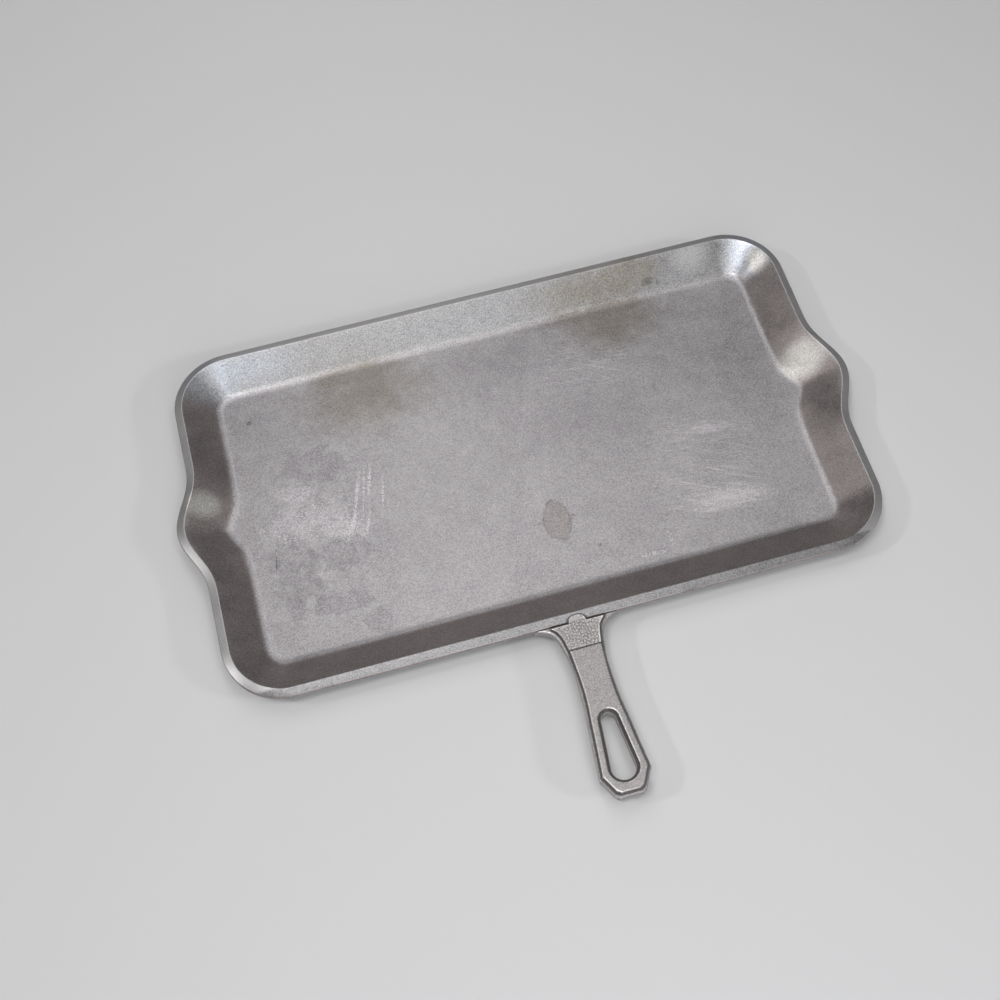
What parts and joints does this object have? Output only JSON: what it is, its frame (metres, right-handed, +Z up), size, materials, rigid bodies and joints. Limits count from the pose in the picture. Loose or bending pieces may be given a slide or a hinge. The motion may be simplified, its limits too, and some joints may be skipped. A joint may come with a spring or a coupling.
{
  "type": "griddle pan",
  "caption": "Rectangular cast aluminium griddle pan with low sloping sides, a pour spout in each short side and a flat handle with a hang hole.",
  "frame": {"origin": "centre of the tray's flat underside, on the surface that the pan stands on", "axes": "+X along the tray's long side, towards one pour spout; the handle points along -Y; +Z up, out of the tray"},
  "size_m": [0.4582, 0.3693, 0.0202],
  "materials": {
    "pan_metal": "satin cast and used, with light stains and scratches on the floor",
    "handle_metal": "matt sand cast, pebbled at the root"
  },
  "bodies": {
    "root": {"pan": "pan_metal", "handle": "handle_metal"}
  },
  "joints": []
}
